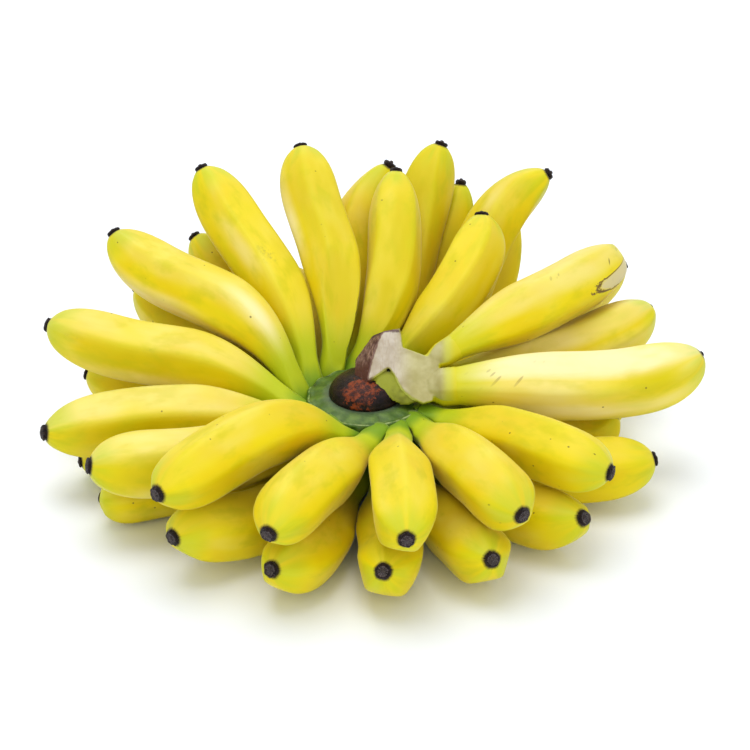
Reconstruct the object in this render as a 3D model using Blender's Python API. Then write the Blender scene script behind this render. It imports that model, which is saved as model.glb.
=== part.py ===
"""A bunch of apple bananas, as picked: a short stalk with its fingers in a whorl, and a hand
of three more fingers on its cut crown.

Metres, +Z up. The origin is the middle of the stalk's flat foot. Turns are degrees
anticlockwise from +X, seen from above.
"""

import math

import bmesh
import bpy
import numpy as np
from mathutils import Vector

# Colours and roughness of the materials
PEEL = ((0.86, 0.70, 0.06), 0.45)
GREEN_STALK = ((0.30, 0.42, 0.14), 0.50)
DARK_END = ((0.06, 0.03, 0.03), 0.55)
CUT_FACE = ((0.62, 0.57, 0.44), 0.70)

# Faces that meet at less than this angle are shaded as one
SHARP_ANGLE = math.radians(50.0)

# Stalk: a turned core that the necks stand round, with a dark domed end on top
STALK_FOOT_RADIUS = 0.0150
STALK_CORE_RADIUS = 0.0236
STALK_HEIGHT = 0.0360
STALK_FOOT_HEIGHT = 0.0050
STALK_FLARE = (0.0010, 0.0040)
STALK_SHOULDER = 0.0015
STALK_SIDES = 32
END_RADIUS = 0.0148
END_HEIGHT = 0.0055
END_RINGS = 5
GAP = 0.0003

# Necks leave the stalk at this distance from its axis, in rows at these heights
NECK_START = 0.0280
ROW_HEIGHT = {"top": 0.0310, "middle": 0.0215, "low": 0.0120}
CROWN_NECKS = {
    "crown_near": (0.0308, -0.0052, 0.0420),
    "crown_far": (0.0308, 0.0066, 0.0410),
    "crown_top": (0.0305, 0.0050, 0.0508),
}

# Shape shared by all fingers, as shares of a finger's length or of its body radius
NECK_SHARE = 0.36
NECK_SHARES = {"finger_crown_near": 0.54, "finger_crown_top": 0.42}
NECK_END = 0.03
BODY_START = 0.42
SWELL_POWER = 1.3
TAPER_START = 0.70
STUB_START = 0.977
STUB_SHARE = 0.27
STUB_END_SHARE = 0.24
TAPER_POWER = 2.8
RIDGE = 0.062
RIDGES = 5
RIDGE_RISE = 0.25
RIDGE_END = 0.93
RIDGE_FADE = 0.03
HOOK_START = 0.78
# How far a fingertip ends off its line, up and sideways
HOOK = (0.0016, -0.0016)
HOOKS = {
    "finger_top_01": (-0.0042, -0.0016),
    "finger_top_03": (0.0014, -0.0032),
    "finger_top_04": (0.0016, -0.0045),
    "finger_top_05": (0.0115, 0.0012),
    "finger_top_06": (0.0100, 0.0004),
    "finger_top_07": (0.0045, -0.0016),
    "finger_middle_05": (0.0016, 0.0020),
    "finger_middle_07": (0.0, 0.0014),
    "finger_middle_09": (0.0085, -0.0016),
    "finger_low_03": (0.0030, -0.0016),
    "finger_low_04": (0.0005, 0.0062),
    "finger_low_05": (-0.0035, -0.0050),
}

# The cut crown piece: convex blocks in the plane of its cut face, joined. A point is
# (across, up the face, behind the face)
CROWN_CORNER = (0.0, -0.0059, 0.0456)
CROWN_UP = (0.0, 0.75, 0.6614)
CROWN_BEHIND = (0.0, 0.6614, -0.75)
CROWN_BLOCKS = {
    "left_leg": (
        (1.4, 0.4, 0), (3.1, 8.4, 0), (5.5, 16.3, 0), (5.5, 3.0, 0), (8.6, 5.1, 0), (9.5, 16.0, 0),
        (0.4, -1.5, 1.5), (-5.1, 2.9, 5.0), (-4.7, 10.5, 7.0), (1.5, 18.0, 8.5), (8.0, 16.0, 8.5),
        (7.0, 2.0, 5.0),
    ),
    "head": (
        (5.5, 16.3, 0), (7.1, 20.4, 0), (13.7, 21.7, 0), (14.5, 15.1, 0), (8.6, 5.1, 0), (3.1, 8.4, 0),
        (14.5, 10.0, 0), (-4.7, 10.5, 7.0), (2.5, 21.8, 9.0), (13.2, 21.0, 9.0), (15.0, 13.0, 9.0),
        (13.0, 6.0, 8.0), (4.0, 6.0, 7.0),
    ),
    "arm": (
        (14.5, 13.6, 0), (18.4, 11.8, 0), (24.3, 9.7, 0), (29.0, 7.2, 0), (27.5, 0.6, 0), (11.4, 1.8, 0),
        (8.6, 5.1, 0), (14.0, 13.0, 8.5), (19.0, 11.0, 8.5), (24.5, 11.0, 8.5), (29.7, 11.0, 9.5),
        (29.7, 0.0, 11.0), (14.0, 1.0, 7.0),
    ),
    "prong": (
        (27.5, 0.6, 0), (26.7, -4.4, 0), (26.3, -8.9, 0), (22.4, -10.0, 0), (17.8, -7.4, 0),
        (14.1, -3.6, 0), (11.4, 1.8, 0), (28.0, 0.0, 7.0), (27.0, -4.0, 6.0), (26.5, -8.0, 4.0),
        (22.0, -9.6, 3.0), (17.0, -7.0, 3.0), (13.5, -3.0, 4.0), (12.0, 1.0, 6.0),
    ),
    "web": (
        (20.0, -9.0, 1.0), (17.6, -9.8, 2.4), (14.1, -10.2, 2.4), (9.8, -8.2, 1.8), (5.9, -4.8, 1.7),
        (2.7, -2.1, 1.2), (6.0, 3.0, 4.5), (13.0, 2.0, 5.0), (20.0, 0.0, 5.0), (6.0, 2.5, 1.5),
        (18.0, -1.0, 1.0), (8.0, 4.3, 1.5),
    ),
}
MM = 0.001

# Mesh of one finger
SIDES = 2 * RIDGES
STATIONS = (0.0, 0.04, 0.09, 0.15, 0.22, 0.31, 0.42, 0.54, 0.65, 0.75, 0.83, 0.89, 0.94, 0.976, 0.981, 1.0)

# Crowding: how the fingers settle against each other and the surface below
SAMPLES = 25
ROUNDS = 160
PUSH = 0.35
PRESS_GAP = 0.0008
PRESS_REACH = 1.1
SHY = 0.25

# One row a finger: name, row, root turn, tip turn, tip reach, tip height, girth, sag, sway,
# weight. Sag drops the middle, sway bends it towards smaller turns, and the heavier of two
# crowded fingers gives way less
FINGERS = (
    ("finger_top_01", "top", 190, 167, 0.134, 0.053, 0.0258, 0.000, 0.002, SHY),
    ("finger_top_02", "top", 168, 148, 0.127, 0.075, 0.0252, 0.001, 0.003, SHY),
    ("finger_top_03", "top", 145, 127, 0.117, 0.094, 0.0240, 0.002, 0.005, SHY),
    ("finger_top_04", "top", 122, 104, 0.116, 0.097, 0.0245, 0.002, 0.006, SHY),
    ("finger_top_05", "top", 101, 82.4, 0.109, 0.0755, 0.0230, 0.002, 0.006, SHY),
    ("finger_top_06", "top", 75, 59, 0.099, 0.0690, 0.0240, 0.002, 0.005, 0.15),
    ("finger_top_07", "top", 212, 189, 0.129, 0.030, 0.0262, 0.0055, 0.002, 0.1),
    ("finger_top_08", "top", 232, 207, 0.119, 0.037, 0.0265, 0.0125, 0.002, 0.1),
    ("finger_top_09", "top", 253, 229, 0.116, 0.042, 0.0250, 0.002, 0.002, 1.0),
    ("finger_top_10", "top", 275, 252, 0.113, 0.040, 0.0250, 0.002, 0.002, 1.0),
    ("finger_top_11", "top", 297, 277, 0.114, 0.041, 0.0240, 0.002, 0.002, 1.0),
    ("finger_top_12", "top", 318, 300, 0.112, 0.040, 0.0250, 0.002, 0.002, 1.0),
    ("finger_top_13", "top", 339, 323, 0.114, 0.041, 0.0245, 0.002, 0.002, 1.0),
    ("finger_crown_top", "crown_top", 0, 34, 0.1275, 0.0615, 0.0245, -0.003, 0.009, 0.1),
    ("finger_crown_near", "crown_near", 0, 0, 0.1355, 0.0535, 0.0272, 0.010, 0.001, 0.1),
    ("finger_crown_far", "crown_far", 0, 22.5, 0.132, 0.0495, 0.0250, 0.0105, 0.000, SHY),
    ("finger_middle_01", "middle", 180, 161, 0.125, 0.021, 0.0235, 0.001, 0.002, SHY),
    ("finger_middle_02", "middle", 159, 142, 0.127, 0.043, 0.0235, 0.001, 0.003, SHY),
    ("finger_middle_03", "middle", 143, 128, 0.120, 0.060, 0.0230, 0.002, 0.003, SHY),
    ("finger_middle_04", "middle", 127, 108, 0.108, 0.040, 0.0225, 0.004, 0.002, 1.0),
    ("finger_middle_05", "middle", 108, 80, 0.112, 0.0805, 0.0230, 0.003, -0.007, SHY),
    ("finger_middle_06", "middle", 91, 74.6, 0.128, 0.0900, 0.0240, 0.005, -0.004, SHY),
    ("finger_middle_07", "middle", 72, 54.5, 0.135, 0.085, 0.0230, 0.008, -0.010, 0.15),
    ("finger_middle_08", "middle", 50, 34.9, 0.1375, 0.0566, 0.0225, 0.001, 0.000, SHY),
    ("finger_middle_09", "middle", 6, 359, 0.101, 0.030, 0.0225, 0.006, 0.001, 0.5),
    ("finger_low_01", "low", 85, 74.4, 0.123, 0.0790, 0.0205, 0.006, 0.001, 0.25),
    ("finger_low_02", "low", 66, 59.5, 0.128, 0.071, 0.0215, 0.007, -0.003, 0.25),
    ("finger_low_03", "low", 200, 186.5, 0.116, 0.016, 0.0195, 0.002, 0.001, 0.6),
    ("finger_low_04", "low", 226, 205, 0.112, 0.018, 0.0230, 0.002, 0.004, 0.4),
    ("finger_low_05", "low", 242, 229, 0.111, 0.026, 0.0250, 0.000, 0.001, SHY),
    ("finger_low_06", "low", 264, 252, 0.108, 0.022, 0.0245, 0.002, 0.001, 1.0),
    ("finger_low_07", "low", 285, 274, 0.107, 0.022, 0.0240, 0.002, 0.001, 1.0),
    ("finger_low_08", "low", 306, 296, 0.108, 0.022, 0.0245, 0.002, 0.001, 1.0),
    ("finger_low_09", "low", 328, 319, 0.109, 0.022, 0.0240, 0.002, 0.001, 1.0),
    ("finger_low_10", "low", 352, 346, 0.118, 0.020, 0.0250, 0.002, 0.001, SHY),
    ("finger_low_11", "low", 24, 14, 0.112, 0.021, 0.0240, 0.002, 0.001, 1.0),
    ("finger_low_12", "low", 46, 36, 0.110, 0.021, 0.0235, 0.002, 0.001, 1.0),
    ("finger_low_13", "low", 104, 92, 0.108, 0.022, 0.0240, 0.002, 0.001, 1.0),
    ("finger_low_14", "low", 125, 115, 0.109, 0.022, 0.0235, 0.002, 0.001, 1.0),
    ("finger_low_15", "low", 148, 138, 0.110, 0.021, 0.0240, 0.002, 0.001, 1.0),
)


def clear_scene():
    for obj in list(bpy.data.objects):
        bpy.data.objects.remove(obj, do_unlink=True)


def make_material(name, colour, roughness):
    material = bpy.data.materials.new(name)
    material.use_nodes = True
    shader = material.node_tree.nodes["Principled BSDF"]
    shader.inputs["Base Color"].default_value = (*colour, 1.0)
    shader.inputs["Roughness"].default_value = roughness
    shader.inputs["Metallic"].default_value = 0.0
    return material


def smooth(x):
    """Rises from 0 to 1 as x does, level at both ends."""
    x = np.clip(x, 0.0, 1.0)
    return x * x * (3.0 - 2.0 * x)


def radius_share(t, neck=NECK_SHARE):
    """A finger's radius at share t of its length, as a share of its body radius."""
    t = np.asarray(t, float)
    along_neck = np.clip((t - NECK_END) / (BODY_START - NECK_END), 0.0, 1.0)
    swell = neck + (1.0 - neck) * np.sin(along_neck * math.pi / 2.0) ** SWELL_POWER
    u = np.clip((t - TAPER_START) / (STUB_START - TAPER_START), 0.0, 1.0)
    taper = np.sqrt(1.0 - u**TAPER_POWER * (1.0 - STUB_SHARE**2))
    along_stub = (t - STUB_START) / (1.0 - STUB_START)
    stub = STUB_SHARE + (STUB_END_SHARE - STUB_SHARE) * along_stub
    return np.where(t > STUB_START, stub, swell * taper)


def neck_of(finger):
    return NECK_SHARES.get(finger[0], NECK_SHARE)


def ridge_share(t):
    """How far the ridges stand out: little at the neck, most along the body, none on the stub."""
    rise = smooth((t - NECK_END) / RIDGE_RISE)
    return RIDGE * rise * (1.0 - smooth((t - RIDGE_END) / RIDGE_FADE))


def on_ring(turn, reach, height):
    angle = math.radians(turn)
    return np.array([reach * math.cos(angle), reach * math.sin(angle), height])


def root_of(row, turn):
    if row in CROWN_NECKS:
        return np.array(CROWN_NECKS[row])
    return on_ring(turn, NECK_START, ROW_HEIGHT[row])


def centre_line(finger, t):
    """Points along a finger before it is crowded: a chord with a sag, a sway and a hooked tip."""
    _, row, root_turn, tip_turn, reach, height, _, sag, sway, _ = finger
    root = root_of(row, root_turn)
    chord = on_ring(tip_turn, reach, height) - root
    ahead = chord / np.linalg.norm(chord)
    side = np.cross(ahead, (0.0, 0.0, 1.0))
    side /= np.linalg.norm(side)
    up = np.cross(side, ahead)
    bow = (4.0 * t * (1.0 - t))[:, None]
    hook_up, hook_side = HOOKS.get(finger[0], HOOK)
    hook = (np.clip((t - HOOK_START) / (1.0 - HOOK_START), 0.0, 1.0) ** 2)[:, None]
    line = root + t[:, None] * chord
    return line + bow * (side * sway - up * sag) + hook * (up * hook_up + side * hook_side)


def crowd(lines, radii, weights):
    """Moves the lines until the fingers round them clear each other and the surface below.

    Each finger keeps its root and moves as a smooth bend, a cubic in the share of its length.
    """
    count, samples, _ = lines.shape
    t = np.linspace(0.0, 1.0, samples)
    basis = np.stack([t, t**2, t**3], axis=1)
    fit = basis @ np.linalg.pinv(basis)
    owner = np.repeat(np.arange(count), samples)
    flat_radii = radii.reshape(-1)
    heavy = np.repeat(weights, samples)
    for _ in range(ROUNDS):
        points = lines.reshape(-1, 3)
        apart = points[:, None, :] - points[None, :, :]
        distance = np.sqrt((apart**2).sum(axis=2)) + 1e-9
        overlap = flat_radii[:, None] + flat_radii[None, :] + PRESS_GAP - distance
        overlap[owner[:, None] == owner[None, :]] = 0.0
        overlap = np.maximum(overlap, 0.0)
        share = heavy[:, None] / (heavy[:, None] + heavy[None, :])
        push = (apart / distance[:, :, None] * (overlap * share)[:, :, None]).sum(axis=1)
        touching = np.maximum((overlap > 0.0).sum(axis=1), 1)
        push = push / touching[:, None] * 2.0
        push[:, 2] += np.maximum(flat_radii - points[:, 2], 0.0)
        wish = push.reshape(count, samples, 3) * PUSH
        lines = lines + np.einsum("ab,nbc->nac", fit, wish)
    return lines


def frames(points):
    """Unit tangent, side and up vectors along a line."""
    ahead = np.gradient(points, axis=0)
    ahead /= np.linalg.norm(ahead, axis=1)[:, None]
    side = np.cross(ahead, (0.0, 0.0, 1.0))
    side /= np.linalg.norm(side, axis=1)[:, None]
    return ahead, side, np.cross(side, ahead)


def at_shares(line, t):
    """Points of a sampled line at the given shares of its length."""
    known = np.linspace(0.0, 1.0, len(line))
    return np.stack([np.interp(t, known, line[:, axis]) for axis in range(3)], axis=1)


def pressed(ring, centre, radius, others, other_radii):
    """Draws a ring's points in to the planes where neighbouring fingers meet it."""
    to = others - centre
    distance = np.linalg.norm(to, axis=1)
    near = distance < (radius + other_radii) * PRESS_REACH + PRESS_GAP
    out = ring - centre
    share = np.ones(len(ring))
    for way, far, other in zip(to[near], distance[near], other_radii[near]):
        wall = (far**2 + radius**2 - other**2) / (2.0 * far) - PRESS_GAP / 2.0
        reach = out @ (way / far)
        over = reach > wall
        share[over] = np.minimum(share[over], np.maximum(wall, 0.0) / reach[over])
    return centre + out * share[:, None]


def finger_rings(index, lines, radii):
    """The rings of a finger's mesh, pressed against its neighbours and the surface below."""
    t = np.array(STATIONS)
    body_radius = FINGERS[index][6] / 2.0
    shares = radius_share(t, neck_of(FINGERS[index]))
    centres = at_shares(lines[index], t)
    _, side, up = frames(centres)
    angle = np.arange(SIDES) * 2.0 * math.pi / SIDES + math.pi / 2.0
    others = np.delete(lines, index, axis=0).reshape(-1, 3)
    other_radii = np.delete(radii, index, axis=0).reshape(-1)
    rings = []
    for k, share in enumerate(t):
        radius = body_radius * shares[k]
        section = radius * (1.0 + float(ridge_share(share)) * np.cos(RIDGES * (angle - math.pi / 2.0)))
        out = np.outer(np.cos(angle), side[k]) + np.outer(np.sin(angle), up[k])
        ring = centres[k] + out * section[:, None]
        ring = pressed(ring, centres[k], radius, others, other_radii)
        ring[:, 2] = np.maximum(ring[:, 2], 0.0)
        rings.append(ring)
    return rings


def loft(name, rings, material):
    """A closed solid through rings of equally many points, first to last."""
    mesh = bmesh.new()
    loops = [[mesh.verts.new(point) for point in ring] for ring in rings]
    for low, high in zip(loops, loops[1:]):
        for k in range(len(low)):
            after = (k + 1) % len(low)
            mesh.faces.new((low[k], low[after], high[after], high[k]))
    mesh.faces.new(loops[0])
    mesh.faces.new(loops[-1])
    bmesh.ops.recalc_face_normals(mesh, faces=mesh.faces)
    return add_object(name, mesh, material)


def add_object(name, mesh, material):
    data = bpy.data.meshes.new(name)
    mesh.to_mesh(data)
    mesh.free()
    data.materials.append(material)
    data.shade_smooth()
    data.set_sharp_from_angle(angle=SHARP_ANGLE)
    obj = bpy.data.objects.new(name, data)
    bpy.context.scene.collection.objects.link(obj)
    return obj


def turned_rings(profile):
    """Level rings of a turned profile of (radius, height) pairs."""
    angle = np.arange(STALK_SIDES) * 2.0 * math.pi / STALK_SIDES
    return [
        np.stack([radius * np.cos(angle), radius * np.sin(angle), np.full(STALK_SIDES, height)], axis=1)
        for radius, height in profile
    ]


def make_stalk(material):
    foot_flare, core_flare = STALK_FLARE
    profile = (
        (STALK_FOOT_RADIUS, 0.0),
        (STALK_FOOT_RADIUS + foot_flare, STALK_FOOT_HEIGHT),
        (STALK_CORE_RADIUS, STALK_FOOT_HEIGHT + core_flare),
        (STALK_CORE_RADIUS, STALK_HEIGHT - STALK_SHOULDER),
        (STALK_CORE_RADIUS - STALK_SHOULDER, STALK_HEIGHT),
    )
    return loft("stalk", turned_rings(profile), material)


def make_stalk_end(material):
    rise = np.arange(END_RINGS) * 0.5 * math.pi / END_RINGS
    profile = [(END_RADIUS * math.cos(a), STALK_HEIGHT + GAP + END_HEIGHT * math.sin(a)) for a in rise]
    return loft("stalk_end", turned_rings(profile), material)


def crown_point(point):
    across, up, behind = (value * MM for value in point)
    return (
        Vector(CROWN_CORNER)
        + Vector((across, 0.0, 0.0))
        + Vector(CROWN_UP) * up
        + Vector(CROWN_BEHIND) * behind
    )


def make_cut_crown(material):
    """The blocks' hulls, joined by one Boolean union."""
    blocks = bpy.data.collections.new("crown_blocks")
    bpy.context.scene.collection.children.link(blocks)
    hulls = []
    for name, points in CROWN_BLOCKS.items():
        mesh = bmesh.new()
        for point in points:
            mesh.verts.new(crown_point(point))
        hull = bmesh.ops.convex_hull(mesh, input=mesh.verts)
        inner = [v for v in hull["geom_interior"] if isinstance(v, bmesh.types.BMVert)]
        bmesh.ops.delete(mesh, geom=inner, context="VERTS")
        bmesh.ops.recalc_face_normals(mesh, faces=mesh.faces)
        hulls.append(add_object("crown_" + name, mesh, material))
    crown = hulls[0]
    for obj in hulls[1:]:
        bpy.context.scene.collection.objects.unlink(obj)
        blocks.objects.link(obj)
    union = crown.modifiers.new("join", "BOOLEAN")
    union.operation = "UNION"
    union.operand_type = "COLLECTION"
    union.collection = blocks
    bpy.context.view_layer.update()
    joined = bpy.data.meshes.new_from_object(crown.evaluated_get(bpy.context.evaluated_depsgraph_get()))
    crown.modifiers.clear()
    crown.data = joined
    crown.name = "cut_crown"
    for obj in hulls[1:]:
        bpy.data.objects.remove(obj, do_unlink=True)
    bpy.data.collections.remove(blocks)
    return crown


def make_fingers(material):
    t = np.linspace(0.0, 1.0, SAMPLES)
    lines = np.stack([centre_line(finger, t) for finger in FINGERS])
    radii = np.stack([finger[6] / 2.0 * radius_share(t, neck_of(finger)) for finger in FINGERS])
    lines = crowd(lines, radii, np.array([finger[9] for finger in FINGERS]))
    for index, finger in enumerate(FINGERS):
        loft(finger[0], finger_rings(index, lines, radii), material)


def main():
    clear_scene()
    peel = make_material("peel", *PEEL)
    green = make_material("green_stalk", *GREEN_STALK)
    dark = make_material("dark_end", *DARK_END)
    cut = make_material("cut_face", *CUT_FACE)
    make_stalk(green)
    make_stalk_end(dark)
    make_cut_crown(cut)
    make_fingers(peel)


main()
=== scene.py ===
"""Looks for a bunch of apple bananas: peel, dry tips, necks, stalk end and cut crown.

Metres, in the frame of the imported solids: +Z up, the origin in the middle of the stalk's flat
foot. Turns are degrees anticlockwise from +X, seen from above. The fingers' places and the
crowding repeat those of the solids.
"""

import math

import bmesh
import bpy
import numpy as np
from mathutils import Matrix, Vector
from mathutils.kdtree import KDTree


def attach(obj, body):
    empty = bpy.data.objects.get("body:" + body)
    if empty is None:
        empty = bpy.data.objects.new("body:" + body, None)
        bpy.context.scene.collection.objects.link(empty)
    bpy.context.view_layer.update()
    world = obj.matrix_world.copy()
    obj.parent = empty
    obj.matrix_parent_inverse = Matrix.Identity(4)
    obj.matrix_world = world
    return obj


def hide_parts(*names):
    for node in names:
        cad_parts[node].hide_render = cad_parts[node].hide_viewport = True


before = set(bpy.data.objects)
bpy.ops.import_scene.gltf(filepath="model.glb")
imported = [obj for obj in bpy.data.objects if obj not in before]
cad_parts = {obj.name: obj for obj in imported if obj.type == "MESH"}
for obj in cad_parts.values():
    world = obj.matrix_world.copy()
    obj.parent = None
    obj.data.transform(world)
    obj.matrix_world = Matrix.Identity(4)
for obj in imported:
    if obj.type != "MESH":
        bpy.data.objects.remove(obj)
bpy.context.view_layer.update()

MM = 0.001
SEED = 7

# Camera: on the side of -Y, looking down at the middle of the collar
IMAGE_PIXELS = 750
CAMERA_RISE = math.radians(30.0)
CAMERA_DISTANCE = 0.80
CAMERA_TARGET = (0.0, 0.0, 0.036)
TARGET_PIXEL = (366, 393)
VIEW_WIDTH = 0.300
SENSOR_MM = 36.0

# Stalk: its lower end as (radius, height) from the flat foot up, then its round core
STALK_UNDERSIDE = ((0.0150, 0.0), (0.0160, 0.0050), (0.0215, 0.0075))
STALK_CORE_RADIUS = 0.0236
STALK_CORE_FOOT = 0.0090
STALK_HEIGHT = 0.0360
STALK_SIDES = 240
STALK_UNEVEN = 0.022
STALK_LUMPS = 0.0004
CORE_RINGS = 14
# Collar: a rounded rim that lies a little under its middle
RIM_RADIUS = 0.0010
RIM_DROP = 0.0012
RIM_RINGS = 6
RIM_PALE_RINGS = (3, 5)
RIM_PALE = 0.7
COLLAR_OUTER = 0.0224
COLLAR_INNER = 0.0130
COLLAR_DIP = 0.0014
COLLAR_RISE = 0.0012
COLLAR_RISE_REACH = 0.0060
COLLAR_RINGS = 16
# Its shallow lobes and the wax on its middle, partly a painted sheen, fade between these radii,
# from none to full
LOBE_WIDTH = math.radians(8.0)
LOBE_HEIGHT = 0.0004
LOBE_SWELL = 0.03
LOBE_FADE = (0.0150, 0.0200)
WAX_SHEEN_FADE = (0.0185, 0.0145)

# Dry end of the stalk, torn open at one place
END_RADIUS = 0.0148
END_HEIGHT = 0.0055
END_SIDES = 128
END_RINGS = 25
END_FOOT_SHARE = 0.97
END_SUNK = 0.0006
END_STEP = 0.0009
END_FOLDS = 0.030
END_LUMPS = 0.0006
DOME_LIFT = 0.0030
TORN_AT = (-0.0018, -0.0092, 0.0415)
TORN_REACH = 0.0110
TORN_CORE = 0.25

# Where the necks leave the stalk, and where those of the cut crown begin
NECK_START = 0.0280
ROW_HEIGHT = {"top": 0.0310, "middle": 0.0215, "low": 0.0120}
CROWN_NECKS = {
    "crown_near": (0.0308, -0.0052, 0.0420),
    "crown_far": (0.0308, 0.0066, 0.0410),
    "crown_top": (0.0305, 0.0050, 0.0508),
}

# A finger's profile, as shares of its length or of its body radius
NECK_SHARE = 0.36
NECK_SHARES = {"crown_near": 0.54, "crown_top": 0.42}
NECK_END = 0.03
BODY_START = 0.42
SWELL_POWER = 1.3
TAPER_START = 0.70
STUB_START = 0.977
STUB_SHARE = 0.27
STUB_END_SHARE = 0.24
TAPER_POWER = 2.8
HOOK_START = 0.78
# How far a fingertip ends off its line, up and sideways, in mm
HOOK = (1.6, -1.6)
HOOKS = {
    "top_01": (-4.2, -1.6), "top_03": (1.4, -3.2), "top_04": (1.6, -4.5), "top_05": (11.5, 1.2),
    "top_06": (10, 0.4), "top_07": (4.5, -1.6), "middle_05": (1.6, 2), "middle_07": (0, 1.4),
    "middle_09": (8.5, -1.6), "low_03": (3, -1.6), "low_04": (0.5, 6.2), "low_05": (-3.5, -5),
}

# Ridges along the peel
RIDGES = 5
RIDGE = 0.068
RIDGE_NECK = 0.6
RIDGE_EDGE = 0.84
RIDGE_RISE = 0.25
RIDGE_FALL = 0.6
RIDGE_FADE = (0.94, 0.97)
# How far the ridges of a finger are turned from its top, in degrees
ROLL = {
    "top_01": -18, "top_02": 28, "top_03": 32, "top_04": 18, "top_05": 34, "top_06": -30,
    "top_07": -18, "top_08": -34, "crown_top": -14, "crown_near": 2, "crown_far": -6,
    "middle_06": 28, "middle_07": -24,
}

# Crowding, as in the solids
SAMPLES = 25
ROUNDS = 160
PUSH = 0.35
PRESS_GAP = 0.0008
PRESS_REACH = 1.1
LOOK_GAP = 0.0004
# How readily most fingers give way whose place is seen
SHY = 0.25
PRESS_SOFTENED = 3
# A crowded line is sampled again on a curve with this many powers
CURVE_POWERS = 8

# How uneven a finger is: draws for its ridges' turn and height, then shares of its radius
ROLL_RANGE = (-12.0, 12.0)
RIDGE_RANGE = (0.85, 1.15)
RIDGE_WANDER = 0.10
UNEVEN = 0.014
UNEVEN_FADE = (0.02, 0.22)
RAGGED = 0.34
RAGGED_REACH = 0.002
RAGGED_WAVES = (30.0, 3.0)

# Mesh of one finger
SIDES = 50
FRAME_POINTS = 200
BODY_RINGS = 50
SHOULDER_START = 0.86
SHOULDER_RINGS = 16
INWARD_STEPS = (0.0075, 0.0050, 0.0025)
# The necks of the whorl widen towards the collar until they meet
NECK_WIDENING = 0.42
NECK_WIDE_REACH = 0.010
COLLAR_TOP = 0.0350
COLLAR_EDGE = 0.0245
COLLAR_SLOPE = 1.6
# The dry tip: rings of (share of the length, share of the body radius), the last ones sunk in
TIP_SHARE = 0.222
CAP_RINGS = (
    (0.9772, 0.218), (0.9778, 0.210), (0.9788, 0.232), (0.9815, 0.238), (0.9850, 0.228),
    (0.9875, 0.208), (0.9890, 0.182), (0.9885, 0.158), (0.9868, 0.130), (0.9862, 0.098),
    (0.9885, 0.078), (0.9920, 0.062), (0.9935, 0.040), (0.9938, 0.018),
)
CAP_FACE_FROM = 7
# Each finger has its own place in the textures' space
LAY_STEP = (0.31, 0.17, 0.23)
# The crown's fingers have smaller tips
SMALL_CAP = 0.34

# One row a finger: name, root turn, tip turn, then the tip's reach and height, the girth, sag
# and sway in mm, and how readily it gives way to its neighbours
FINGERS = (
    ("top_01", 190, 167, 134, 53, 25.8, 0, 2, SHY),
    ("top_02", 168, 148, 127, 75, 25.2, 1, 3, SHY),
    ("top_03", 145, 127, 117, 94, 24, 2, 5, SHY),
    ("top_04", 122, 104, 116, 97, 24.5, 2, 6, SHY),
    ("top_05", 101, 82.4, 109, 75.5, 23, 2, 6, SHY),
    ("top_06", 75, 59, 99, 69, 24, 2, 5, 0.15),
    ("top_07", 212, 189, 129, 30, 26.2, 5.5, 2, 0.1),
    ("top_08", 232, 207, 119, 37, 26.5, 12.5, 2, 0.1),
    ("top_09", 253, 229, 116, 42, 25, 2, 2, 1),
    ("top_10", 275, 252, 113, 40, 25, 2, 2, 1),
    ("top_11", 297, 277, 114, 41, 24, 2, 2, 1),
    ("top_12", 318, 300, 112, 40, 25, 2, 2, 1),
    ("top_13", 339, 323, 114, 41, 24.5, 2, 2, 1),
    ("crown_top", 0, 34, 127.5, 61.5, 24.5, -3, 9, 0.1),
    ("crown_near", 0, 0, 135.5, 53.5, 27.2, 10, 1, 0.1),
    ("crown_far", 0, 22.5, 132, 49.5, 25, 10.5, 0, SHY),
    ("middle_01", 180, 161, 125, 21, 23.5, 1, 2, SHY),
    ("middle_02", 159, 142, 127, 43, 23.5, 1, 3, SHY),
    ("middle_03", 143, 128, 120, 60, 23, 2, 3, SHY),
    ("middle_04", 127, 108, 108, 40, 22.5, 4, 2, 1),
    ("middle_05", 108, 80, 112, 80.5, 23, 3, -7, SHY),
    ("middle_06", 91, 74.6, 128, 90, 24, 5, -4, SHY),
    ("middle_07", 72, 54.5, 135, 85, 23, 8, -10, 0.15),
    ("middle_08", 50, 34.9, 137.5, 56.6, 22.5, 1, 0, SHY),
    ("middle_09", 6, 359, 101, 30, 22.5, 6, 1, 0.5),
    ("low_01", 85, 74.4, 123, 79, 20.5, 6, 1, 0.25),
    ("low_02", 66, 59.5, 128, 71, 21.5, 7, -3, 0.25),
    ("low_03", 200, 186.5, 116, 16, 19.5, 2, 1, 0.6),
    ("low_04", 226, 205, 112, 18, 23, 2, 4, 0.4),
    ("low_05", 242, 229, 111, 26, 25, 0, 1, SHY),
    ("low_06", 264, 252, 108, 22, 24.5, 2, 1, 1),
    ("low_07", 285, 274, 107, 22, 24, 2, 1, 1),
    ("low_08", 306, 296, 108, 22, 24.5, 2, 1, 1),
    ("low_09", 328, 319, 109, 22, 24, 2, 1, 1),
    ("low_10", 352, 346, 118, 20, 25, 2, 1, SHY),
    ("low_11", 24, 14, 112, 21, 24, 2, 1, 1),
    ("low_12", 46, 36, 110, 21, 23.5, 2, 1, 1),
    ("low_13", 104, 92, 108, 22, 24, 2, 1, 1),
    ("low_14", 125, 115, 109, 22, 23.5, 2, 1, 1),
    ("low_15", 148, 138, 110, 21, 24, 2, 1, 1),
)

# Painted highlight: how much lighter the upper side of a finger is painted, where the light from
# above falls on it, from 0 to 1. It begins at this sine of the angle up from the side and is full
# at twice that. On the crown's fingers it fades in from the root
HIGHLIGHT_FROM = 0.42
HIGHLIGHT_ROOT = 0.16
HIGHLIGHT_TOP = 0.10
HIGHLIGHT_TOPS = {
    "crown_near": 1.0, "crown_far": 0.60, "crown_top": 0.40, "top_01": 0.32, "top_02": 0.20,
    "top_07": 0.40, "top_08": 0.45,
}
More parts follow.
